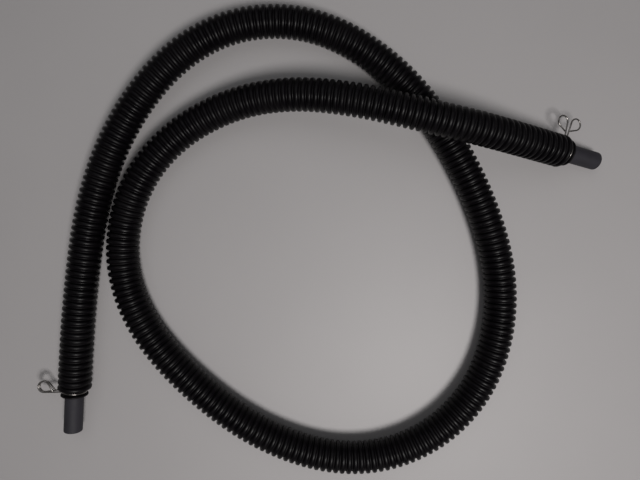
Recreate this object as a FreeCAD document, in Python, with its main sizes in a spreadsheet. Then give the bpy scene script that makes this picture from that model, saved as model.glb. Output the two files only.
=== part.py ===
"""Sheathed connecting hose of a pool cleaner: a smooth inner hose, a corrugated sleeve over it,
a rubber bush in each end of the sleeve and a sprung wire clip round each end.

Millimetres, +Z up. The origin is the middle of the footprint, on the surface that the hose lies on.
"""
import math
import os

import FreeCAD, Part
import Sketcher

Vec = FreeCAD.Vector

# ---------------------------------------------------------------- driving dimensions
# alias, value in mm or degrees, what it is
DIMENSIONS = [
    ("hose_diameter", 18.0, "inner hose, outside"),
    ("hose_bore", 12.5, "inner hose, inside"),
    ("waist_diameter", 17.4, "inner hose, outside, where the clip squeezes it"),
    ("hose_stub", 37.5, "inner hose standing out of each end of the sleeve"),
    ("sleeve_diameter", 32.0, "sleeve over its ridges"),
    ("sleeve_bore", 25.0, "sleeve inside its grooves"),
    ("neck_diameter", 20.6, "sleeve's end, where the clip sits"),
    ("neck_bore", 19.4, "inside of the neck"),
    ("neck_length", 5.7, "last full ridge to the sleeve's end"),
    ("end_wall", 1.5, "wall between the last full ridge and the neck"),
    ("bead_diameter", 26.8, "small last ring, at the sleeve's end"),
    ("bead_thickness", 2.0, "the same ring, along the hose"),
    ("bead_rounding", 0.9, "edges of the same ring"),
    ("bush_recess", 0.6, "bush end face, inside the sleeve's end"),
    ("bush_shoulder", 7.0, "wide part of the bush, behind the end wall"),
    ("bush_shoulder_diameter", 24.4, "wide part of the bush"),
    ("press_interference", 0.1, "bush tighter than the hose and the neck, on the diameter"),
    ("bush_chamfer", 0.8, "inner edge of the bush"),
    ("wire_diameter", 1.5, "clip's spring wire"),
    ("clip_gap", 0.25, "between the clip's ring and the neck"),
    ("clip_setback", 3.85, "middle of the clip's ring, from the sleeve's end"),
    ("crossing_gap", 0.2, "between the two wires where they cross"),
    ("back_gap", 0.3, "between the clip's two halves at its back"),
    ("lap_angle", 4.0, "how far each half runs past the front of the ring"),
    ("leg_bend", 1.2, "radius at the foot of each leg"),
    ("leg_length", 8.2, "straight leg below the ear"),
    ("ear_radius", 5.6, "round top of the ear"),
    ("ear_reach", 11.0, "foot of the ear to the middle of its round top"),
    ("ear_mouth", 1.2, "wire's free end to the foot of the ear"),
    ("left_upper_ear_lean", -26.0, "ear's angle from the ring's plane, + out along the hose"),
    ("left_lower_ear_lean", -19.0, "the same, for the ear beneath it"),
    ("right_upper_ear_lean", 40.0, "the same"),
    ("right_lower_ear_lean", -30.0, "the same"),
]

# Centre line of the hose, from the left tip to the right tip: it lies on the surface, passes
# beside itself on the left, then rises in a long low hump over itself and comes down again.
LIE = 16.0
ROUTE = [
    (-253.8, -190.5, LIE), (-249, -114, LIE), (-241, -34, LIE), (-228, 45, LIE), (-200, 117, LIE),
    (-155, 177, LIE), (-103, 212, LIE), (-45, 223, LIE), (12, 212, LIE), (69, 177, LIE),
    (116, 125, LIE), (158, 52, LIE), (182, -21, LIE), (183, -86, LIE), (165, -144, LIE),
    (129, -188, LIE), (80, -215, LIE), (26, -222, LIE), (-31, -209, LIE), (-89, -178, LIE),
    (-149, -125, LIE), (-186, -73, LIE), (-201, -19, LIE), (-195, 36, LIE), (-171, 83, LIE),
    (-132, 119, LIE), (-79, 142, 22), (-24, 147, 34), (32, 139, 44), (85, 126, 50),
    (153, 110, 50), (212, 98.5, 30), (279, 85, 9),
]
ROUND_RIMS = (1, 3)  # a cylinder's two round edges
ARC_SHARE = 0.45    # of the shorter run beside each corner, taken by its arc


# ---------------------------------------------------------------- the document
def make_sheet(doc):
    """The spreadsheet of driving dimensions, one named cell a row."""
    sheet = doc.addObject("Spreadsheet::Sheet", "Dimensions")
    for row, (alias, value, meaning) in enumerate(DIMENSIONS, start=1):
        sheet.set(f"A{row}", meaning)
        sheet.set(f"B{row}", str(value))
        sheet.setAlias(f"B{row}", alias)
    doc.recompute()
    return sheet


def cell(name):
    """The expression that reads one cell of the sheet."""
    return f"Dimensions.{name}"


def add(doc, kind, name, placement=None, **expressions):
    """A feature whose properties are bound to the sheet."""
    feature = doc.addObject(kind, name)
    for prop, expression in expressions.items():
        feature.setExpression(prop, expression)
    if placement:
        feature.Placement = placement
    return feature


def wire_feature(doc, name, edges):
    """A path through tangent edges, for a sweep to follow."""
    feature = doc.addObject("Part::Feature", name)
    feature.Shape = Part.Wire(edges)
    return feature


def sweep(doc, name, path, diameter):
    """A round rod along a path. The diameter is an expression."""
    edge = path.Shape.OrderedEdges[0]
    start = edge.valueAt(edge.FirstParameter)
    along = edge.tangentAt(edge.FirstParameter)
    section = add(doc, "Part::Circle", name + "_section", Radius=f"({diameter}) / 2")
    section.Placement = FreeCAD.Placement(start, FreeCAD.Rotation(Vec(0, 0, 1), along))
    rod = doc.addObject("Part::Sweep", name)
    rod.Sections = [section]
    rod.Spine = (path, [])
    rod.Solid = True
    rod.Frenet = False
    return rod


# ---------------------------------------------------------------- paths
def arc_edge(start, along, end):
    """The arc that leaves start along a direction and ends at end."""
    chord = end - start
    across = chord - along * chord.dot(along)
    across.normalize()
    radius = chord.dot(chord) / (2 * chord.dot(across))
    half = math.atan2(chord.dot(across), chord.dot(along))
    middle = start + along * (radius * math.sin(half)) + across * (radius * (1 - math.cos(half)))
    return Part.Arc(start, middle, end).toShape()


def rounded_path(points):
    """Straight runs through the points, joined by tangent arcs. Returns edges and arc radii."""
    edges, radii = [], []
    here = points[0]
    for before, corner, after in zip(points, points[1:], points[2:]):
        run_in, run_out = corner - before, after - corner
        reach = ARC_SHARE * min(run_in.Length, run_out.Length)
        half_turn = run_in.getAngle(run_out) / 2
        run_in.normalize()
        run_out.normalize()
        start, end = corner - run_in * reach, corner + run_out * reach
        edges.append(Part.LineSegment(here, start).toShape())
        edges.append(arc_edge(start, run_in, end))
        radii.append(reach / math.tan(half_turn))
        here = end
    edges.append(Part.LineSegment(here, points[-1]).toShape())
    return edges, radii


def cut_short(edges, length):
    """The same path without its first stretch of a given length."""
    edges = list(edges)
    while edges[0].Length <= length:
        length -= edges.pop(0).Length
    first = edges[0]
    edges[0] = first.Curve.toShape(first.getParameterByLength(length), first.LastParameter)
    return edges


def trimmed(edges, length):
    """The same path without a stretch of a given length at each end."""
    shorter = cut_short(edges, length)
    total = sum(edge.Length for edge in shorter)
    kept, run = [], 0.0
    for edge in shorter:
        room = total - length - run
        if edge.Length > room:
            kept.append(edge.Curve.toShape(edge.FirstParameter, edge.getParameterByLength(room)))
            break
        kept.append(edge)
        run += edge.Length
    return kept


def end_frame(edges, distance, radial):
    """Where the sleeve ends: Z runs out along the hose, X towards the clip's ears."""
    first = cut_short(edges, distance)[0]
    outward = first.tangentAt(first.FirstParameter) * -1
    ears = radial - outward * radial.dot(outward)
    ears.normalize()
    return FreeCAD.Placement(first.valueAt(first.FirstParameter),
                             FreeCAD.Rotation(ears, outward.cross(ears), outward, "ZXY"))


def back_to_front(edges):
    """The path walked the other way, for the frame at its far end."""
    turned = []
    for edge in reversed(edges):
        curve = edge.Curve
        points = [edge.valueAt(p) for p in (edge.LastParameter, edge.FirstParameter)]
        if isinstance(curve, Part.Circle):
            middle = edge.valueAt((edge.FirstParameter + edge.LastParameter) / 2)
            turned.append(Part.Arc(points[0], middle, points[1]).toShape())
        else:
            turned.append(Part.LineSegment(*points).toShape())
    return turned


def shifted(frame, along):
    """A frame moved along its own Z."""
    return frame.multiply(FreeCAD.Placement(Vec(0, 0, along), FreeCAD.Rotation()))


# ---------------------------------------------------------------- sub-parts
def make_hose(doc, size, route, ends):
    """The inner hose: a smooth tube from tip to tip, squeezed to a waist at each bush."""
    path = wire_feature(doc, "hose_path", route)
    outside = sweep(doc, "hose_outside", path, cell("hose_diameter"))
    removed = [sweep(doc, "hose_inside", path, cell("hose_bore"))]
    waist_parts = ("neck_length", "end_wall", "bush_shoulder")
    waist_length = " + ".join(cell(part) for part in waist_parts)
    for side, frame in ends.items():
        place = shifted(frame, -sum(size(part) for part in waist_parts))
        around = add(doc, "Part::Cylinder", side + "_waist_around", place,
                     Radius=cell("hose_diameter"), Height=waist_length)
        waist = add(doc, "Part::Cylinder", side + "_waist", place,
                    Radius=cell("waist_diameter") + " / 2", Height=waist_length)
        ring = doc.addObject("Part::Cut", side + "_waist_ring")
        ring.Base, ring.Tool = around, waist
        removed.append(ring)
    hollow = doc.addObject("Part::MultiFuse", "hose_hollow")
    hollow.Shapes = removed
    hose = doc.addObject("Part::Cut", "inner_hose")
    hose.Base, hose.Tool = outside, hollow
    return hose


def make_sleeve(doc, size, route, ends):
    """The sleeve: a tube over its ridges, with a necked and beaded end at each side."""
    ridges_end = size("hose_stub") + size("neck_length")
    body_path = wire_feature(doc, "sleeve_path", trimmed(route, ridges_end))
    bore_path = wire_feature(doc, "bore_path", trimmed(route, ridges_end + size("end_wall")))
    solids = [sweep(doc, "sleeve_outside", body_path, cell("sleeve_diameter"))]
    bores = [sweep(doc, "sleeve_inside", bore_path, cell("sleeve_bore"))]
    depth = size("neck_length") + size("end_wall")
    for side, frame in ends.items():
        root = shifted(frame, -depth)
        length = f"{cell('neck_length')} + {cell('end_wall')}"
        solids.append(add(doc, "Part::Cylinder", side + "_neck", root,
                          Radius=cell("neck_diameter") + " / 2", Height=length))
        disc = add(doc, "Part::Cylinder", side + "_bead_disc",
                   shifted(frame, -size("bead_thickness")),
                   Radius=cell("bead_diameter") + " / 2", Height=cell("bead_thickness"))
        bead = doc.addObject("Part::Fillet", side + "_bead")
        bead.Base = disc
        rounding = size("bead_rounding")
        bead.Edges = [(rim, rounding, rounding) for rim in ROUND_RIMS]
        solids.append(bead)
        bores.append(add(doc, "Part::Cylinder", side + "_neck_bore",
                         shifted(frame, -depth - size("end_wall")),
                         Radius=cell("neck_bore") + " / 2",
                         Height=f"{length} + 2 * {cell('end_wall')}"))
    envelope = doc.addObject("Part::MultiFuse", "sleeve_envelope")
    envelope.Shapes = solids
    hollow = doc.addObject("Part::MultiFuse", "sleeve_hollow")
    hollow.Shapes = bores
    sleeve = doc.addObject("Part::Cut", "corrugated_sleeve")
    sleeve.Base, sleeve.Tool = envelope, hollow
    return sleeve


def bush_sketch(doc, body):
    """Half section of the bush: a shank in the neck and a shoulder behind the end wall."""
    sketch = body.newObject("Sketcher::SketchObject", body.Name + "_section")
    plane = [f for f in body.Origin.OriginFeatures if f.Role == "XZ_Plane"][0]
    sketch.AttachmentSupport = [(plane, "")]
    sketch.MapMode = "FlatFace"
    # (radius, distance along the hose) of each corner, as expressions
    bore = f"({cell('waist_diameter')} - {cell('press_interference')}) / 2"
    shank = f"({cell('neck_bore')} + {cell('press_interference')}) / 2"
    shoulder = cell("bush_shoulder_diameter") + " / 2"
    front = f"-{cell('bush_recess')}"
    step = f"-({cell('neck_length')} + {cell('end_wall')})"
    back = f"({step} - {cell('bush_shoulder')})"
    corners = [(bore, front), (shank, front), (shank, step), (shoulder, step),
               (shoulder, back + f" + {cell('bush_chamfer')}"),
               (f"{shoulder} - {cell('bush_chamfer')}", back), (bore, back)]
    guesses = [(9, -1), (10, -1), (10, -8), (12, -8), (12, -14), (11, -15), (9, -15)]
    count = len(corners)
    for index in range(count):
        a, b = guesses[index], guesses[(index + 1) % count]
        sketch.addGeometry(Part.LineSegment(Vec(a[0], a[1], 0), Vec(b[0], b[1], 0)))
    start, end = 1, 2
    axes = -1
    for index in range(count):
        sketch.addConstraint(Sketcher.Constraint("Coincident", index, end,
                                                 (index + 1) % count, start))
    for index, (radius, height) in enumerate(corners):
        for kind, expression, guess in (("DistanceX", radius, guesses[index][0]),
                                        ("DistanceY", height, guesses[index][1])):
            number = sketch.addConstraint(Sketcher.Constraint(kind, axes, start, index, start,
                                                              float(guess)))
            sketch.setExpression(f"Constraints[{number}]", expression)
    return sketch


def make_bush(doc, side, frame):
    """The rubber bush that the clip clamps on to the hose."""
    body = doc.addObject("PartDesign::Body", side + "_bush")
    sketch = bush_sketch(doc, body)
    turned = body.newObject("PartDesign::Revolution", side + "_bush_turned")
    turned.Profile = (sketch, [])
    turned.ReferenceAxis = (sketch, ["V_Axis"])
    turned.Angle = 360
    body.Placement = frame
    return body


def bend_edge(start, along, towards, radius):
    """The arc that turns from one direction to another, starting at a point."""
    turn = along.getAngle(towards)
    across = towards - along * along.dot(towards)
    across.normalize()
    end = start + along * (radius * math.sin(turn)) + across * (radius * (1 - math.cos(turn)))
    return arc_edge(start, along, end)


def clip_half_path(size, frame, way, lean):
    """Centre line of half a clip, from the back of its ring to the free end of its ear.

    way is +1 for the half whose ring passes on the frame's -Y side and whose leg stands on its
    +Y side, and -1 for the other. lean is the ear's angle, + out along the hose.
    """
    wire = size("wire_diameter")
    ring = clip_ring_radius(size)
    rise = (wire + size("crossing_gap")) / 2
    middle = shifted(frame, -size("clip_setback"))

    def on_ring(angle):
        """The halves part in the ring's plane at its back and cross beside it at the front."""
        x = ring * math.cos(angle)
        return middle.multVec(Vec(x, way * ring * math.sin(angle),
                                  -way * rise * (x + ring) / (2 * ring)))

    side = math.copysign(1, lean)
    flare = math.asin(size("ear_radius") / size("ear_reach"))
    straight = size("ear_reach") * math.cos(flare)
    edge_angle = math.radians(lean) - side * flare
    up = frame.Rotation.multVec(Vec(math.cos(edge_angle), 0, math.sin(edge_angle)))
    over = frame.Rotation.multVec(Vec(-math.sin(edge_angle), 0, math.cos(edge_angle))) * side

    back = math.pi + size("back_gap") / 2 / ring
    lap = math.radians(size("lap_angle"))
    ring_half = Part.Arc(on_ring(back), on_ring((back + lap) / 2 + math.pi), on_ring(lap)).toShape()
    foot = bend_edge(on_ring(lap), ring_half.tangentAt(ring_half.LastParameter), up,
                     size("leg_bend"))
    leg_foot = foot.valueAt(foot.LastParameter)
    ear_foot = leg_foot + up * size("leg_length")
    centre = ear_foot + up * straight + over * size("ear_radius")

    def on_ear(angle):
        return centre + (up * math.sin(angle) - over * math.cos(angle)) * size("ear_radius")

    ear_turn = math.pi + 2 * flare
    home = ear_foot - on_ear(ear_turn)
    home.normalize()
    return [
        ring_half,
        foot,
        Part.LineSegment(leg_foot, on_ear(0)).toShape(),
        Part.Arc(on_ear(0), on_ear(ear_turn / 2), on_ear(ear_turn)).toShape(),
        Part.LineSegment(on_ear(ear_turn),
                         on_ear(ear_turn) + home * (straight - size("ear_mouth"))).toShape(),
    ]


def clip_ring_radius(size):
    """Radius of the clip's ring, at the middle of its wire."""
    return (size("neck_diameter") + size("wire_diameter")) / 2 + size("clip_gap")


def make_clip(doc, size, side, frame):
    """A sprung wire clip, parted at the middle of its back, where it flexes.

    The upper half is the one with the upper ear. Its ring passes below the neck.
    """
    up_way = 1 if frame.Rotation.multVec(Vec(0, 1, 0)).z > 0 else -1
    halves = []
    for name, way in (("upper", up_way), ("lower", -up_way)):
        node = f"{side}_clip_{name}_half"
        lean = size(f"{side}_{name}_ear_lean")
        path = wire_feature(doc, node + "_path", clip_half_path(size, frame, way, lean))
        halves.append(sweep(doc, node, path, cell("wire_diameter")))
    return halves


# ---------------------------------------------------------------- checks and files
def check(doc, nodes):
    """Stops if a feature failed or a sub-part's shape isn't one good solid."""
    for feature in doc.Objects:
        if "Invalid" in feature.State or "Error" in feature.State:
            raise RuntimeError(f"{feature.Name} failed: {feature.State}")
    for node in nodes:
        shape = node.Shape
        if shape.isNull() or not shape.isValid() or len(shape.Solids) != 1:
            raise RuntimeError(f"{node.Label} isn't one valid solid")


def describe(size, route, radii, nodes):
    """Prints the lengths, bend radii and volumes that a maker would want to see."""
    length = sum(edge.Length for edge in route)
    thick = size("sleeve_diameter")
    print(f"hose {length:.1f} mm, sleeve {length - 2 * size('hose_stub'):.1f} mm")
    print("bend radii, mm:", ", ".join(f"{r:.0f}" for r in radii))
    print(f"tightest bend {min(radii):.0f} mm, {min(radii) / thick:.2f} sleeve diameters")
    area = math.pi / 4 * (size("hose_diameter") ** 2 - size("hose_bore") ** 2)
    for node in nodes:
        box = node.Shape.BoundBox
        print(f"{node.Label}: {node.Shape.Volume:.0f} mm3, x {box.XMin:.1f} to {box.XMax:.1f},"
              f" y {box.YMin:.1f} to {box.YMax:.1f}, z {box.ZMin:.2f} to {box.ZMax:.2f}")
    print(f"inner_hose as section x length: {area * length:.0f} mm3")


def main():
    doc = FreeCAD.newDocument("connecting_hose")
    sheet = make_sheet(doc)

    def size(name):
        return float(sheet.get(name))

    route, radii = rounded_path([Vec(*point) for point in ROUTE])
    ends = {
        "left": end_frame(route, size("hose_stub"), Vec(-1, 0, 0)),
        "right": end_frame(back_to_front(route), size("hose_stub"), Vec(0, 1, 0)),
    }
    nodes = [make_hose(doc, size, route, ends), make_sleeve(doc, size, route, ends)]
    for side, frame in ends.items():
        nodes.append(make_bush(doc, side, frame))
        nodes += make_clip(doc, size, side, frame)
    doc.recompute()
    for node in nodes:
        node.Label = node.Name
    check(doc, nodes)
    describe(size, route, radii, nodes)
    for side, frame in ends.items():
        print(side, "end at", frame.Base, "outward", frame.Rotation.multVec(Vec(0, 0, 1)),
              "ears", frame.Rotation.multVec(Vec(1, 0, 0)))
    os.makedirs("parts", exist_ok=True)
    for node in nodes:
        node.Shape.exportStep(f"parts/{node.Label}.step")


main()
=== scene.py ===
"""A connecting hose: a rubber hose inside a corrugated sleeve, with a sprung wire clip at each end.

Run as a script in Blender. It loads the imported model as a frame, builds the pieces round it
with one operator a piece, and leaves the finished scene ready to render. All sizes are metres.
"""
import math

import bmesh
import bpy
from mathutils import Matrix, Vector


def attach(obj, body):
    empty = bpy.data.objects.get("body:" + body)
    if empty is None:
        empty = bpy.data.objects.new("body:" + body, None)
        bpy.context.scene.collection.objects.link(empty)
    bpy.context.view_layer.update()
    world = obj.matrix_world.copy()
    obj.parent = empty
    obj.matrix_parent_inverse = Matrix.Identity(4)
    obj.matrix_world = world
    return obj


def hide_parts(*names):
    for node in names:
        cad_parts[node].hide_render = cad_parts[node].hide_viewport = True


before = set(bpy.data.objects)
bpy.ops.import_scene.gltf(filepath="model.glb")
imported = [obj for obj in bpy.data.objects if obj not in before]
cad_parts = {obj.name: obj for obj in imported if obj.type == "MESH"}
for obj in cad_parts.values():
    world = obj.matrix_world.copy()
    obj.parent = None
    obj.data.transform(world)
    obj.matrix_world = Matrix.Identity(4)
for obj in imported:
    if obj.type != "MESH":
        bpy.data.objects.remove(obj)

bl_info = {
    "name": "Sleeved connecting hose",
    "version": (1, 0, 0),
    "blender": (4, 5, 0),
    "location": "3D View > Sidebar > Hose",
    "description": "Builds a corrugated sleeve, its inner hose, bushes and wire clips",
    "category": "Add Mesh",
}

PLACE = "straight_place"  # attribute: where a point lay before its hose was bent

# The hose's line, from the left tip to the right one. It lies on the table, goes round once and
# rides over itself before the right end.
LIE = 0.016
ROUTE = (
    (-0.2538, -0.1905, LIE), (-0.249, -0.114, LIE), (-0.241, -0.034, LIE), (-0.228, 0.045, LIE),
    (-0.200, 0.117, LIE), (-0.155, 0.177, LIE), (-0.103, 0.212, LIE), (-0.045, 0.223, LIE),
    (0.012, 0.212, LIE), (0.069, 0.177, LIE), (0.116, 0.125, LIE), (0.158, 0.052, LIE),
    (0.182, -0.021, LIE), (0.183, -0.086, LIE), (0.165, -0.144, LIE), (0.129, -0.188, LIE),
    (0.080, -0.215, LIE), (0.026, -0.222, LIE), (-0.031, -0.209, LIE), (-0.089, -0.178, LIE),
    (-0.149, -0.125, LIE), (-0.186, -0.073, LIE), (-0.201, -0.019, LIE), (-0.195, 0.036, LIE),
    (-0.171, 0.083, LIE), (-0.132, 0.119, LIE), (-0.079, 0.142, 0.022), (-0.024, 0.147, 0.034),
    (0.032, 0.139, 0.044), (0.085, 0.126, 0.050), (0.153, 0.110, 0.050), (0.212, 0.0985, 0.030),
    (0.279, 0.085, 0.009),
)
ROUTE_STEPS = 24  # points of the evaluated line between two of the route's

# One ridge of the sleeve: (share of the pitch, share of the height above the groove)
RIDGE_OUTLINE = (
    (0.0, 0.0), (0.12, 0.06), (0.16, 0.52), (0.24, 0.84), (0.37, 1.0),
    (0.63, 1.0), (0.76, 0.84), (0.84, 0.52), (0.88, 0.06), (1.0, 0.0),
)
# A dome on the end of a wire: (reach, radius) as shares of the wire's own radius
DOME = ((1.0, 0.0), (0.94, 0.34), (0.77, 0.64), (0.5, 0.87))
# Which way each end's clip faces, and the lean of its two ears out along the hose
CLIPS = {
    "left": {"facing": (-1, 0, 0), "upper": "left_upper_lean", "lower": "left_lower_lean"},
    "right": {"facing": (0, 1, 0), "upper": "right_upper_lean", "lower": "right_lower_lean"},
}


# ---------------------------------------------------------------- settings
def linear(hex_colour):
    """An sRGB colour such as 9a9796 as linear red, green and blue."""
    parts = [int(hex_colour[i:i + 2], 16) / 255 for i in (0, 2, 4)]
    return tuple(p / 12.92 if p <= 0.04045 else ((p + 0.055) / 1.055) ** 2.4 for p in parts)


def length_property(name, description, default):
    """A length in metres with a sensible floor."""
    return bpy.props.FloatProperty(name=name, description=description, default=default,
                                   min=0.0, precision=5, subtype="DISTANCE", unit="LENGTH")


def colour_property(name, description, hex_colour):
    """A colour whose default is given as sRGB hex."""
    return bpy.props.FloatVectorProperty(name=name, description=description, size=3,
                                         default=linear(hex_colour), min=0.0, max=1.0,
                                         subtype="COLOR")


class HoseSizes(bpy.types.PropertyGroup):
    """Sizes of the inner hose, the sleeve and its ends."""
    hose_diameter: length_property("Hose diameter", "Outside diameter of the inner hose", 0.018)
    hose_bore: length_property("Hose bore", "Bore of the inner hose", 0.0125)
    hose_stub: length_property("Stub", "How far the hose stands out of the sleeve", 0.0375)
    hose_rim: length_property("Rim rounding", "Rounding of the hose's cut rim", 0.0009)
    hose_step: length_property("Hose step", "Distance between the hose's rings of points", 0.008)
    sleeve_crest: length_property("Ridge diameter", "Diameter over the ridges", 0.032)
    sleeve_groove: length_property("Groove diameter", "Diameter in the grooves", 0.0264)
    sleeve_bore: length_property("Sleeve bore", "Bore of the sleeve", 0.025)
    ridge_pitch: length_property("Ridge pitch", "Distance from ridge to ridge, about", 0.0062)
    neck_length: length_property("Neck length", "Last ridge to the sleeve's end", 0.0057)
    neck_diameter: length_property("Neck diameter", "Diameter under the clip", 0.0206)
    neck_bore: length_property("Neck bore", "Bore that holds the bush", 0.0194)
    end_wall: length_property("End wall", "Thickness of the sleeve's end wall", 0.0015)
    end_undercut: length_property("Undercut", "Lean of the end wall under the clip", 0.0003)
    bead_diameter: length_property("Bead diameter", "Diameter of the end bead", 0.0262)
    bead_thickness: length_property("Bead thickness", "Thickness of the end bead", 0.0018)
    bead_rounding: length_property("Bead rounding", "Rounding of the end bead", 0.0008)
    segments: bpy.props.IntProperty(name="Segments", description="Faces round the hose",
                                    default=28, min=12, max=64)


class ClipSizes(bpy.types.PropertyGroup):
    """Sizes of the sprung wire clips."""
    wire: length_property("Wire", "Diameter of the spring wire", 0.0015)
    gap: length_property("Ring gap", "Between the neck and the ring of wire", 0.00025)
    setback: length_property("Setback", "Sleeve's end to the middle of the ring", 0.00385)
    crossing: length_property("Crossing gap", "Between the two wires where they cross", 0.0002)
    leg_bend: length_property("Leg bend", "Radius where the ring turns into a leg", 0.0012)
    leg: length_property("Leg", "Straight leg below the ear", 0.0082)
    ear_radius: length_property("Ear radius", "Radius of the ear's loop", 0.0056)
    ear_reach: length_property("Ear reach", "Ear's foot to the centre of its loop", 0.011)
    ear_mouth: length_property("Ear mouth", "Gap left where the ear's loop comes home", 0.0012)
    lap: bpy.props.FloatProperty(name="Lap", description="How far each wire runs past the other",
                                 default=math.radians(4), subtype="ANGLE", unit="ROTATION")
    left_upper_lean: bpy.props.FloatProperty(
        name="Left upper lean", description="Lean of the left clip's upper ear, + outwards",
        default=math.radians(-26), subtype="ANGLE", unit="ROTATION")
    left_lower_lean: bpy.props.FloatProperty(
        name="Left lower lean", description="Lean of the left clip's lower ear, + outwards",
        default=math.radians(-19), subtype="ANGLE", unit="ROTATION")
    right_upper_lean: bpy.props.FloatProperty(
        name="Right upper lean", description="Lean of the right clip's upper ear, + outwards",
        default=math.radians(40), subtype="ANGLE", unit="ROTATION")
    right_lower_lean: bpy.props.FloatProperty(
        name="Right lower lean", description="Lean of the right clip's lower ear, + outwards",
        default=math.radians(-30), subtype="ANGLE", unit="ROTATION")


class Finishes(bpy.types.PropertyGroup):
    """Colours of the pieces and of the table."""
    sleeve: colour_property("Sleeve", "Black of the moulded sleeve", "080609")
    sleeve_dust: colour_property("Sleeve dust", "Dust that settles in the grooves", "1f1c1d")
    hose: colour_property("Hose", "Anthracite of the rubber hose", "211f26")
    hose_bloom: colour_property("Hose bloom", "Pale bloom on the rubber", "302e37")
    bush: colour_property("Bush", "Black of the rubber bush", "1c1b1d")
    wire: colour_property("Wire", "Bright spring steel", "a09c99")
    # Partly real, partly painted shade: stains of drawing soap and handling, their grey made darker to
    # dim the wire as if its ring lay in shade in the sleeve's slot.
    wire_stain_and_painted_shade: colour_property("Wire shade", "Steel dulled by drawing soap and handling",
                                "4e4a48")
    table: colour_property("Table", "Pale painted table top", "b3b0b1")


class StageSettings(bpy.types.PropertyGroup):
    """Camera, table and lights."""
    eye: bpy.props.FloatVectorProperty(name="Camera", description="Where the camera stands",
                                       default=(-0.005, 0.033, 0.5192), subtype="TRANSLATION",
                                       unit="LENGTH", precision=4)
    aim: bpy.props.FloatVectorProperty(name="Aim", description="The point the camera looks at",
                                       default=(-0.0006, 0.0042, 0.0), subtype="TRANSLATION",
                                       unit="LENGTH", precision=4)
    lens: bpy.props.FloatProperty(name="Lens", description="Focal length in millimetres",
                                  default=28.125, min=1.0)
    table_side: length_property("Table side", "Side of the square table top", 6.0)
    key_power: bpy.props.FloatProperty(name="Key", description="Power of the key light, watts",
                                       default=15.0, min=0.0)
    fill_power: bpy.props.FloatProperty(name="Fill", description="Power of the fill light, watts",
                                        default=3.0, min=0.0)
    world: bpy.props.FloatProperty(name="World", description="Strength of the room's even light",
                                   default=0.11, min=0.0)


# ---------------------------------------------------------------- helpers
def shown(name, mesh):
    """A new object on a mesh, at the origin."""
    piece = bpy.data.objects.new(name, mesh)
    bpy.context.scene.collection.objects.link(piece)
    return piece


def settled(piece):
    """A piece's mesh with its modifiers worked in, or the mesh of a curve."""
    graph = bpy.context.evaluated_depsgraph_get()
    return bpy.data.meshes.new_from_object(piece.evaluated_get(graph),
                                           preserve_all_data_layers=True, depsgraph=graph)


def finished(bm, name):
    """The mesh of a bmesh, with smooth faces."""
    for face in bm.faces:
        face.smooth = True
    mesh = bpy.data.meshes.new(name)
    bm.to_mesh(mesh)
    bm.free()
    return mesh


def turned(bm, outline, steps):
    """Turns an open outline of (along X, radius) round X."""
    verts = [bm.verts.new((along, 0, radius)) for along, radius in outline]
    edges = [bm.edges.new(pair) for pair in zip(verts, verts[1:])]
    bmesh.ops.spin(bm, geom=verts + edges, cent=(0, 0, 0), axis=(1, 0, 0), dvec=(0, 0, 0),
                   angle=math.tau, steps=steps, use_merge=True, use_duplicate=False)


def closed_up(bm):
    """Merges what coincides and turns every face of the closed shell outwards."""
    bmesh.ops.remove_doubles(bm, verts=bm.verts, dist=1e-6)
    bmesh.ops.recalc_face_normals(bm, faces=bm.faces)


def round_rims(bm, places, rounding, segments):
    """Rounds the circular rims at each (along X, radius)."""
    rims = [edge for edge in bm.edges
            if any(all(abs(v.co.x - along) < 1e-6
                       and abs(math.hypot(v.co.y, v.co.z) - radius) < 1e-6 for v in edge.verts)
                   for along, radius in places)]
    bmesh.ops.bevel(bm, geom=rims, offset=rounding, offset_type="OFFSET", affect="EDGES",
                    segments=segments, profile=0.5, material=-1)


def remember_place(mesh):
    """Keeps each point's place on the straight hose, for patterns that follow the bends."""
    places = mesh.attributes.new(PLACE, "FLOAT_VECTOR", "POINT")
    for vertex, place in zip(mesh.vertices, places.data):
        place.vector = vertex.co


def add(tree, kind, inputs=None, **settings):
    """Adds a node: settings go on the node, and inputs on its sockets, as values or links."""
    made = tree.nodes.new(kind)
    for name, value in settings.items():
        setattr(made, name, value)
    for name, value in (inputs or {}).items():
        if isinstance(value, bpy.types.NodeSocket):
            tree.links.new(value, made.inputs[name])
        else:
            made.inputs[name].default_value = value
    return made


def new_material(name):
    """An empty node material: (material, tree, Principled BSDF)."""
    material = bpy.data.materials.new(name)
    material.use_nodes = True
    tree = material.node_tree
    tree.nodes.clear()
    surface = add(tree, "ShaderNodeBsdfPrincipled")
    add(tree, "ShaderNodeOutputMaterial", {"Surface": surface.outputs["BSDF"]})
    return material, tree, surface


def opaque(colour):
    """A colour with full alpha, for a colour socket."""
    return (*colour, 1.0)


# Socket numbers of a Mix node that mixes colours
MIX_A, MIX_B, MIXED = 6, 7, 2


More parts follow.
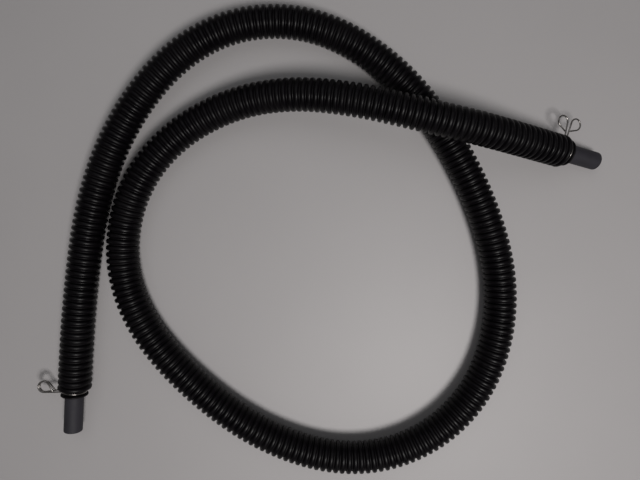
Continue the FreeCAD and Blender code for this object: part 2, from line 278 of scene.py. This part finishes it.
# ---------------------------------------------------------------- materials
def polypropylene(colours):
    """Blow-moulded polypropylene, black: a satin skin that shines softly on every crest.

    The mould leaves a fine grain. Handling scuffs the crests, and dust lies in the grooves.
    """
    material, tree, surface = new_material("blow_moulded_polypropylene")
    place = add(tree, "ShaderNodeAttribute", attribute_name=PLACE).outputs["Vector"]
    sizes = bpy.context.scene.hose_sizes
    flat = add(tree, "ShaderNodeVectorMath", {0: place, 1: (0.0, 1.0, 1.0)},
               operation="MULTIPLY").outputs["Vector"]
    radius = add(tree, "ShaderNodeVectorMath", {0: flat}, operation="LENGTH").outputs["Value"]
    height = add(tree, "ShaderNodeMapRange",
                 {"Value": radius, "From Min": sizes.sleeve_groove / 2,
                  "From Max": sizes.sleeve_crest / 2}).outputs["Result"]
    # Dust gathers in cloudy patches about 30 mm long, only low in the grooves.
    clouds = add(tree, "ShaderNodeTexNoise",
                 {"Vector": place, "Scale": 32.0, "Detail": 4.0, "Roughness": 0.6})
    patches = add(tree, "ShaderNodeMapRange",
                  {"Value": clouds.outputs["Fac"], "From Min": 0.42, "From Max": 0.75,
                   "To Max": 0.4}).outputs["Result"]
    low = add(tree, "ShaderNodeMapRange", {"Value": height, "From Min": 0.5, "From Max": 0.0,
                                           "To Max": 1.0}).outputs["Result"]
    dusty = add(tree, "ShaderNodeMath", {0: patches, 1: low},
                operation="MULTIPLY").outputs["Value"]
    # Scuffs run round the hose on the crests: 1 mm wide and several long.
    stretched = add(tree, "ShaderNodeMapping", {"Vector": place, "Scale": (900.0, 160.0, 160.0)})
    scratches = add(tree, "ShaderNodeTexNoise",
                    {"Vector": stretched.outputs["Vector"], "Scale": 1.0, "Detail": 3.0})
    high = add(tree, "ShaderNodeMapRange", {"Value": height, "From Min": 0.8,
                                            "From Max": 1.0}).outputs["Result"]
    worn = add(tree, "ShaderNodeMapRange",
               {"Value": scratches.outputs["Fac"], "From Min": 0.55, "From Max": 0.7,
                "To Max": 0.35}).outputs["Result"]
    scuffed = add(tree, "ShaderNodeMath", {0: worn, 1: high},
                  operation="MULTIPLY").outputs["Value"]
    dirt = add(tree, "ShaderNodeMath", {0: dusty, 1: scuffed}, operation="MAXIMUM")
    skin = add(tree, "ShaderNodeMix", {0: dirt.outputs["Value"], MIX_A: opaque(colours.sleeve),
                                       MIX_B: opaque(colours.sleeve_dust)}, data_type="RGBA")
    tree.links.new(skin.outputs[MIXED], surface.inputs["Base Color"])
    shine = add(tree, "ShaderNodeMapRange",
                {"Value": clouds.outputs["Fac"], "From Min": 0.3, "From Max": 0.7,
                 "To Min": 0.30, "To Max": 0.42})
    dulled = add(tree, "ShaderNodeMath",
                 {0: dirt.outputs["Value"], 1: 0.8, 2: shine.outputs["Result"]},
                 operation="MULTIPLY_ADD")
    tree.links.new(dulled.outputs["Value"], surface.inputs["Roughness"])
    surface.inputs["IOR"].default_value = 1.49
    surface.inputs["Specular IOR Level"].default_value = 0.17
    # The mould's grain is some 0.3 mm.
    grain = add(tree, "ShaderNodeTexNoise", {"Vector": place, "Scale": 2800.0, "Detail": 2.0})
    bump = add(tree, "ShaderNodeBump", {"Height": grain.outputs["Fac"], "Strength": 0.25,
                                        "Distance": 0.0001})
    tree.links.new(bump.outputs["Normal"], surface.inputs["Normal"])
    return material


def extruded_rubber(colours):
    """Extruded rubber hose, anthracite: matt, with faint lines along it and a pale bloom."""
    material, tree, surface = new_material("extruded_rubber")
    place = add(tree, "ShaderNodeAttribute", attribute_name=PLACE).outputs["Vector"]
    # Bloom comes up in soft patches some 15 mm long.
    clouds = add(tree, "ShaderNodeTexNoise",
                 {"Vector": place, "Scale": 60.0, "Detail": 5.0, "Roughness": 0.65})
    patches = add(tree, "ShaderNodeMapRange",
                  {"Value": clouds.outputs["Fac"], "From Min": 0.35, "From Max": 0.8,
                   "To Max": 0.6})
    skin = add(tree, "ShaderNodeMix",
               {0: patches.outputs["Result"], MIX_A: opaque(colours.hose),
                MIX_B: opaque(colours.hose_bloom)}, data_type="RGBA")
    tree.links.new(skin.outputs[MIXED], surface.inputs["Base Color"])
    matt = add(tree, "ShaderNodeMapRange",
               {"Value": clouds.outputs["Fac"], "From Min": 0.3, "From Max": 0.7,
                "To Min": 0.62, "To Max": 0.78})
    tree.links.new(matt.outputs["Result"], surface.inputs["Roughness"])
    surface.inputs["IOR"].default_value = 1.52
    # The die draws lines 0.4 mm apart along the hose.
    stretched = add(tree, "ShaderNodeMapping",
                    {"Vector": place, "Scale": (30.0, 1400.0, 1400.0)})
    lines = add(tree, "ShaderNodeTexNoise",
                {"Vector": stretched.outputs["Vector"], "Scale": 1.0, "Detail": 3.0})
    bump = add(tree, "ShaderNodeBump", {"Height": lines.outputs["Fac"], "Strength": 0.35,
                                        "Distance": 0.0002})
    tree.links.new(bump.outputs["Normal"], surface.inputs["Normal"])
    return material


def moulded_rubber(colours):
    """Compression-moulded rubber bush, black: dull, with the fine grain of its mould."""
    material, tree, surface = new_material("moulded_rubber")
    place = add(tree, "ShaderNodeTexCoord").outputs["Object"]
    # The grain is 0.5 mm.
    grain = add(tree, "ShaderNodeTexNoise", {"Vector": place, "Scale": 1800.0, "Detail": 3.0})
    tone = add(tree, "ShaderNodeMapRange", {"Value": grain.outputs["Fac"], "To Min": 0.65,
                                            "To Max": 0.85})
    dark = add(tree, "ShaderNodeMix",
               {0: grain.outputs["Fac"], MIX_A: opaque(colours.bush),
                MIX_B: opaque(colours.hose)}, data_type="RGBA")
    tree.links.new(dark.outputs[MIXED], surface.inputs["Base Color"])
    tree.links.new(tone.outputs["Result"], surface.inputs["Roughness"])
    surface.inputs["IOR"].default_value = 1.52
    bump = add(tree, "ShaderNodeBump", {"Height": grain.outputs["Fac"], "Strength": 0.4,
                                        "Distance": 0.0001})
    tree.links.new(bump.outputs["Normal"], surface.inputs["Normal"])
    return material


def spring_steel(colours):
    """Drawn spring steel wire: bright, with grey stains that are partly painted shade, and the faint
    lines of the die.
    """
    material, tree, surface = new_material("drawn_spring_steel")
    place = add(tree, "ShaderNodeTexCoord").outputs["Object"]
    surface.inputs["Metallic"].default_value = 1.0
    # Stains are 3 mm long, drawn coarser than life so that they show. Their dark grey is partly
    # painted shade that dims the wire.
    stains = add(tree, "ShaderNodeTexNoise", {"Vector": place, "Scale": 320.0, "Detail": 3.0})
    stain_and_shade_mask = add(tree, "ShaderNodeMapRange",
                  {"Value": stains.outputs["Fac"], "From Min": 0.45, "From Max": 0.75})
    steel = add(tree, "ShaderNodeMix",
                {0: stain_and_shade_mask.outputs["Result"], MIX_A: opaque(colours.wire),
                 MIX_B: opaque(colours.wire_stain_and_painted_shade)}, data_type="RGBA")
    tree.links.new(steel.outputs[MIXED], surface.inputs["Base Color"])
    shine = add(tree, "ShaderNodeMapRange",
                {"Value": stains.outputs["Fac"], "From Min": 0.3, "From Max": 0.7,
                 "To Min": 0.2, "To Max": 0.38})
    tree.links.new(shine.outputs["Result"], surface.inputs["Roughness"])
    # Drawing lines are finer than 0.1 mm.
    lines = add(tree, "ShaderNodeTexNoise", {"Vector": place, "Scale": 7000.0, "Detail": 2.0})
    bump = add(tree, "ShaderNodeBump", {"Height": lines.outputs["Fac"], "Strength": 0.2,
                                        "Distance": 0.00003})
    tree.links.new(bump.outputs["Normal"], surface.inputs["Normal"])
    return material


def painted_table(colours):
    """Sprayed satin paint on board: pale, even, with a faint mottle and orange peel."""
    material, tree, surface = new_material("sprayed_paint")
    place = add(tree, "ShaderNodeTexCoord").outputs["Object"]
    mottle = add(tree, "ShaderNodeTexNoise", {"Vector": place, "Scale": 7.0, "Detail": 4.0})
    tone = add(tree, "ShaderNodeMix",
               {0: mottle.outputs["Fac"], MIX_A: opaque(colours.table),
                MIX_B: opaque([0.93 * c for c in colours.table])}, data_type="RGBA")
    tree.links.new(tone.outputs[MIXED], surface.inputs["Base Color"])
    surface.inputs["Roughness"].default_value = 0.5
    # Orange peel has waves of some 2 mm.
    peel = add(tree, "ShaderNodeTexNoise", {"Vector": place, "Scale": 450.0, "Detail": 1.0})
    bump = add(tree, "ShaderNodeBump", {"Height": peel.outputs["Fac"], "Strength": 0.1,
                                        "Distance": 0.0002})
    tree.links.new(bump.outputs["Normal"], surface.inputs["Normal"])
    return material


# ---------------------------------------------------------------- the hose's line
def lay_route():
    """The hose's line: a smooth curve with the route's points as its control points."""
    data = bpy.data.curves.new("route", "CURVE")
    data.dimensions = "3D"
    data.resolution_u = ROUTE_STEPS
    data.use_radius = False
    spline = data.splines.new("NURBS")
    spline.points.add(len(ROUTE) - 1)
    for point, place in zip(spline.points, ROUTE):
        point.co = (*place, 1.0)
    spline.order_u = 3
    spline.use_endpoint_u = True
    return shown("route", data)


def route_line(route):
    """The points of the line, and how far along it each lies."""
    mesh = settled(route)
    points = [vertex.co.copy() for vertex in mesh.vertices]
    bpy.data.meshes.remove(mesh)
    reached = [0.0]
    for a, b in zip(points, points[1:]):
        reached.append(reached[-1] + (b - a).length)
    return points, reached


def stretch(points, reached, start, end):
    """The part of the line between two distances along it."""
    def at(distance):
        after = next(i for i, run in enumerate(reached) if run >= distance and i > 0)
        share = (distance - reached[after - 1]) / (reached[after] - reached[after - 1])
        return points[after - 1].lerp(points[after], share)
    inside = [p for p, run in zip(points, reached) if start < run < end]
    return [at(start), *inside, at(end)]


def bent(mesh, name, route):
    """Lays a straight mesh along the line and leaves it as plain mesh at the origin."""
    remember_place(mesh)
    straight = shown(name + "_straight", mesh)
    bend = straight.modifiers.new("bend", "CURVE")
    bend.object = route
    bend.deform_axis = "POS_X"
    laid = settled(straight)
    bpy.data.objects.remove(straight)
    bpy.data.objects.remove(route)
    laid.name = name
    return shown(name, laid)


# ---------------------------------------------------------------- pieces
def hose_mesh(sizes, length):
    """The inner hose, straight: a tube with rounded cut rims."""
    outer, inner = sizes.hose_diameter / 2, sizes.hose_bore / 2
    bm = bmesh.new()
    corners = [bm.verts.new((x, 0, r)) for x, r in ((0, inner), (0, outer), (length, outer),
                                                   (length, inner))]
    sides = [bm.edges.new((a, b)) for a, b in zip(corners, corners[1:] + corners[:1])]
    bmesh.ops.subdivide_edges(bm, edges=[sides[1], sides[3]],
                              cuts=round(length / sizes.hose_step))
    bmesh.ops.spin(bm, geom=bm.verts[:] + bm.edges[:], cent=(0, 0, 0), axis=(1, 0, 0),
                   dvec=(0, 0, 0), angle=math.tau, steps=sizes.segments, use_merge=True,
                   use_duplicate=False)
    closed_up(bm)
    round_rims(bm, ((0, outer), (length, outer)), sizes.hose_rim, 4)
    round_rims(bm, ((0, inner), (length, inner)), sizes.hose_rim / 2, 2)
    return finished(bm, "hose_straight")


def sleeve_mesh(sizes, length):
    """The sleeve, straight: ridges all along, and at each end a neck and a bead."""
    groove, crest = sizes.sleeve_groove / 2, sizes.sleeve_crest / 2
    bore, neck = sizes.sleeve_bore / 2, sizes.neck_diameter / 2
    ridged = length - 2 * sizes.neck_length
    count = round(ridged / sizes.ridge_pitch)
    pitch = ridged / count

    bm = bmesh.new()
    turned(bm, [(share * pitch, groove + rise * (crest - groove))
                for share, rise in RIDGE_OUTLINE], sizes.segments)
    turned(bm, [(0, bore), (pitch, bore)], sizes.segments)
    ridge = shown("ridge", finished(bm, "ridge"))

    def end_cap(name, flipped):
        """What closes the sleeve past the last groove, running out along +X."""
        out, wall = sizes.neck_length, sizes.end_wall
        face = out - sizes.bead_thickness
        bead, hole = sizes.bead_diameter / 2, sizes.neck_bore / 2
        cap = bmesh.new()
        turned(cap, [(0, groove), (-sizes.end_undercut, neck), (face, neck), (face, bead), (out, bead),
                     (out, hole), (-wall, hole), (-wall, bore), (0, bore)], sizes.segments)
        round_rims(cap, ((face, bead), (out, bead)), sizes.bead_rounding, 4)
        if flipped:
            bmesh.ops.scale(cap, verts=cap.verts, vec=(-1, 1, 1))
            bmesh.ops.translate(cap, verts=cap.verts, vec=(pitch, 0, 0))
        return shown(name, finished(cap, name))

    row = ridge.modifiers.new("row", "ARRAY")
    row.fit_type = "FIXED_COUNT"
    row.count = count
    row.use_relative_offset = False
    row.use_constant_offset = True
    row.constant_offset_displace = (pitch, 0, 0)
    row.use_merge_vertices = True
    row.merge_threshold = 1e-5
    caps = [end_cap("near_cap", True), end_cap("far_cap", False)]
    row.start_cap, row.end_cap = caps
    made = settled(ridge)
    bm = bmesh.new()
    bm.from_mesh(made)
    for spent in (ridge, *caps):
        bpy.data.objects.remove(spent)
    bmesh.ops.translate(bm, verts=bm.verts, vec=(sizes.hose_stub + sizes.neck_length, 0, 0))
    closed_up(bm)
    return finished(bm, "sleeve_straight")


def end_frame(tip, inner, facing, stub):
    """Where the sleeve ends: Z runs out along the hose, X towards the clip's ears."""
    outward = (Vector(tip) - Vector(inner)).normalized()
    ears = Vector(facing)
    ears = (ears - outward * ears.dot(outward)).normalized()
    turn = Matrix((ears, outward.cross(ears), outward)).transposed().to_4x4()
    return Matrix.Translation(Vector(tip) - outward * stub) @ turn


def bow(start, along, towards, radius, steps=8):
    """Points of an arc that leaves start along one direction and turns to another."""
    turn = along.angle(towards)
    across = (towards - along * along.dot(towards)).normalized()
    points = [start + along * (radius * math.sin(turn * i / steps))
              + across * (radius * (1 - math.cos(turn * i / steps)))
              for i in range(1, steps + 1)]
    return points


def clip_line(sizes, neck, place, way, lean):
    """Middle of half a clip's wire, from the back of its ring to the free end of its ear.

    way is +1 for the half whose ring passes on the frame's -Y side, and -1 for the other.
    """
    ring = (neck + sizes.wire) / 2 + sizes.gap
    rise = (sizes.wire + sizes.crossing) / 2
    ring_steps, ear_steps = 36, 20

    def on_ring(angle):
        x = ring * math.cos(angle)
        return Vector((x, way * ring * math.sin(angle),
                       -way * rise * (x + ring) / (2 * ring) - sizes.setback))

    side = math.copysign(1, lean)
    flare = math.asin(sizes.ear_radius / sizes.ear_reach)
    straight = sizes.ear_reach * math.cos(flare)
    edge = lean - side * flare
    up = Vector((math.cos(edge), 0, math.sin(edge)))
    over = side * Vector((-math.sin(edge), 0, math.cos(edge)))

    sweep = math.pi + sizes.lap
    line = [on_ring(math.pi + sweep * i / ring_steps) for i in range(ring_steps + 1)]
    line += bow(line[-1], (line[-1] - line[-2]).normalized(), up, sizes.leg_bend)
    foot = line[-1] + up * sizes.leg
    centre = foot + up * straight + over * sizes.ear_radius
    turn = math.pi + 2 * flare
    line.append(line[-1].lerp(foot, 0.5))
    line.append(foot)
    for i in range(ear_steps + 1):
        angle = turn * i / ear_steps
        line.append(centre + (up * math.sin(angle) - over * math.cos(angle)) * sizes.ear_radius)
    home = (foot - line[-1]).normalized()
    line.append(line[-1] + home * (straight - sizes.ear_mouth))
    return [place @ point for point in line]


def drawn_wire(name, line, diameter):
    """A round wire along a line, each end closed by a dome."""
    radius = diameter / 2
    data = bpy.data.curves.new(name, "CURVE")
    data.dimensions = "3D"
    data.bevel_depth = radius
    data.bevel_resolution = 4
    data.twist_mode = "MINIMUM"
    first = (line[0] - line[1]).normalized() * radius
    last = (line[-1] - line[-2]).normalized() * radius
    stations = [(line[0] + first * reach, width) for reach, width in DOME]
    stations += [(point, 1.0) for point in line]
    stations += [(line[-1] + last * reach, width) for reach, width in reversed(DOME)]
    spline = data.splines.new("POLY")
    spline.points.add(len(stations) - 1)
    for point, (place, width) in zip(spline.points, stations):
        point.co = (*place, 1.0)
        point.radius = width
    curve = shown(name + "_line", data)
    bm = bmesh.new()
    bm.from_mesh(settled(curve))
    bpy.data.objects.remove(curve)
    closed_up(bm)
    return shown(name, finished(bm, name))


# ---------------------------------------------------------------- operators
class HOSE_OT_camera(bpy.types.Operator):
    """Places the camera above the table"""
    bl_idname = "sleeved_hose.camera"
    bl_label = "Place camera"

    def execute(self, context):
        stage = context.scene.hose_stage
        data = bpy.data.cameras.new("camera")
        data.lens = stage.lens
        data.sensor_width = 36.0
        data.clip_start, data.clip_end = 0.01, 50.0
        camera = shown("camera", data)
        back = (Vector(stage.eye) - Vector(stage.aim)).normalized()
        right = Vector((0, 1, 0)).cross(back).normalized()
        turn = Matrix((right, back.cross(right), back)).transposed()
        camera.matrix_world = Matrix.Translation(stage.eye) @ turn.to_4x4()
        context.scene.camera = camera
        return {"FINISHED"}


class HOSE_OT_hose(bpy.types.Operator):
    """Makes the rubber hose that shows at both ends of the sleeve"""
    bl_idname = "sleeved_hose.hose"
    bl_label = "Make inner hose"

    def execute(self, context):
        sizes = context.scene.hose_sizes
        route = lay_route()
        points, reached = route_line(route)
        piece = bent(hose_mesh(sizes, reached[-1]), "rubber_hose", route)
        piece.data.materials.append(extruded_rubber(context.scene.hose_finishes))
        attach(piece, "hose")
        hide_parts("inner_hose")
        return {"FINISHED"}


class HOSE_OT_sleeve(bpy.types.Operator):
    """Makes the corrugated sleeve over the hose"""
    bl_idname = "sleeved_hose.sleeve"
    bl_label = "Make corrugated sleeve"

    def execute(self, context):
        sizes = context.scene.hose_sizes
        route = lay_route()
        points, reached = route_line(route)
        length = reached[-1] - 2 * sizes.hose_stub
        path = stretch(points, reached, sizes.hose_stub, sizes.hose_stub + length)
        piece = bent(sleeve_mesh(sizes, length), "ridged_sleeve", route)
        piece.data.materials.append(polypropylene(context.scene.hose_finishes))
        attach(piece, "hose")
        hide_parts("corrugated_sleeve")
        return {"FINISHED"}


class HOSE_OT_bushes(bpy.types.Operator):
    """Gives the two rubber bushes their finish"""
    bl_idname = "sleeved_hose.bushes"
    bl_label = "Finish bushes"

    def execute(self, context):
        rubber = moulded_rubber(context.scene.hose_finishes)
        for name in ("left_bush", "right_bush"):
            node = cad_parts[name]
            if not node.material_slots:
                node.data.materials.append(rubber)
            for slot in node.material_slots:
                slot.material = rubber
        return {"FINISHED"}


class HOSE_OT_clips(bpy.types.Operator):
    """Makes the four halves of the two sprung wire clips"""
    bl_idname = "sleeved_hose.clips"
    bl_label = "Make wire clips"

    def execute(self, context):
        sizes, clip = context.scene.hose_sizes, context.scene.clip_sizes
        steel = spring_steel(context.scene.hose_finishes)
        ends = {"left": (ROUTE[0], ROUTE[1]), "right": (ROUTE[-1], ROUTE[-2])}
        for side, facts in CLIPS.items():
            place = end_frame(*ends[side], facts["facing"], sizes.hose_stub)
            up_way = 1 if (place.to_3x3() @ Vector((0, 1, 0))).z > 0 else -1
            for half, way in (("upper", up_way), ("lower", -up_way)):
                line = clip_line(clip, sizes.neck_diameter, place, way,
                                 getattr(clip, facts[half]))
                wire = drawn_wire(f"{side}_clip_{half}_wire", line, clip.wire)
                wire.data.materials.append(steel)
                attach(wire, f"{side}_clip_{half}")
                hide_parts(f"{side}_clip_{half}_half")
        return {"FINISHED"}


class HOSE_OT_stage(bpy.types.Operator):
    """Sets out the table and the studio lights"""
    bl_idname = "sleeved_hose.stage"
    bl_label = "Set stage"

    def execute(self, context):
        stage = context.scene.hose_stage
        bm = bmesh.new()
        bmesh.ops.create_grid(bm, x_segments=4, y_segments=4, size=stage.table_side / 2)
        table = shown("table", finished(bm, "table"))
        table.data.materials.append(painted_table(context.scene.hose_finishes))

        def area_light(name, place, side, power, colour):
            data = bpy.data.lights.new(name, "AREA")
            data.shape = "DISK"
            data.size = side
            data.energy = power
            data.color = colour
            lamp = shown(name, data)
            lamp.location = place
            lamp.rotation_euler = (-Vector(place)).to_track_quat("-Z", "Y").to_euler()

        area_light("key", (0.35, -0.55, 1.45), 0.5, stage.key_power, (1.0, 0.98, 0.96))
        area_light("fill", (-0.3, 0.9, 1.6), 1.6, stage.fill_power, (0.96, 0.98, 1.0))
        world = bpy.data.worlds.new("room")
        world.use_nodes = True
        back = world.node_tree.nodes["Background"]
        back.inputs["Color"].default_value = opaque(linear("dfdedd"))
        back.inputs["Strength"].default_value = stage.world
        context.scene.world = world
        context.scene.view_settings.view_transform = "Standard"
        return {"FINISHED"}


class HOSE_PT_panel(bpy.types.Panel):
    """Lists the pieces and their sizes"""
    bl_idname = "HOSE_PT_panel"
    bl_label = "Sleeved hose"
    bl_space_type = "VIEW_3D"
    bl_region_type = "UI"
    bl_category = "Hose"

    def draw(self, context):
        scene = context.scene
        for title, group, makers in (
                ("Hose and sleeve", scene.hose_sizes, (HOSE_OT_hose, HOSE_OT_sleeve,
                                                       HOSE_OT_bushes)),
                ("Clips", scene.clip_sizes, (HOSE_OT_clips,)),
                ("Finishes", scene.hose_finishes, ()),
                ("Stage", scene.hose_stage, (HOSE_OT_camera, HOSE_OT_stage))):
            box = self.layout.box()
            box.label(text=title)
            for name in group.__annotations__:
                box.prop(group, name)
            for maker in makers:
                box.operator(maker.bl_idname)


GROUPS = {"hose_sizes": HoseSizes, "clip_sizes": ClipSizes, "hose_finishes": Finishes,
          "hose_stage": StageSettings}
OPERATORS = (HOSE_OT_camera, HOSE_OT_hose, HOSE_OT_sleeve, HOSE_OT_bushes, HOSE_OT_clips,
             HOSE_OT_stage)


def register():
    for name, group in GROUPS.items():
        bpy.utils.register_class(group)
        setattr(bpy.types.Scene, name, bpy.props.PointerProperty(type=group))
    for kind in (*OPERATORS, HOSE_PT_panel):
        bpy.utils.register_class(kind)


def unregister():
    for kind in (HOSE_PT_panel, *reversed(OPERATORS)):
        bpy.utils.unregister_class(kind)
    for name, group in GROUPS.items():
        delattr(bpy.types.Scene, name)
        bpy.utils.unregister_class(group)


def corners(box):
    """A box's two corners as plain lists."""
    return [list(corner) for corner in box]


def main():
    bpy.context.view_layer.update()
    register()
    bpy.ops.sleeved_hose.camera()
    bpy.ops.sleeved_hose.hose()
    bpy.ops.sleeved_hose.sleeve()
    bpy.ops.sleeved_hose.bushes()
    bpy.ops.sleeved_hose.clips()
    bpy.ops.sleeved_hose.stage()


if __name__ == "__main__":
    main()
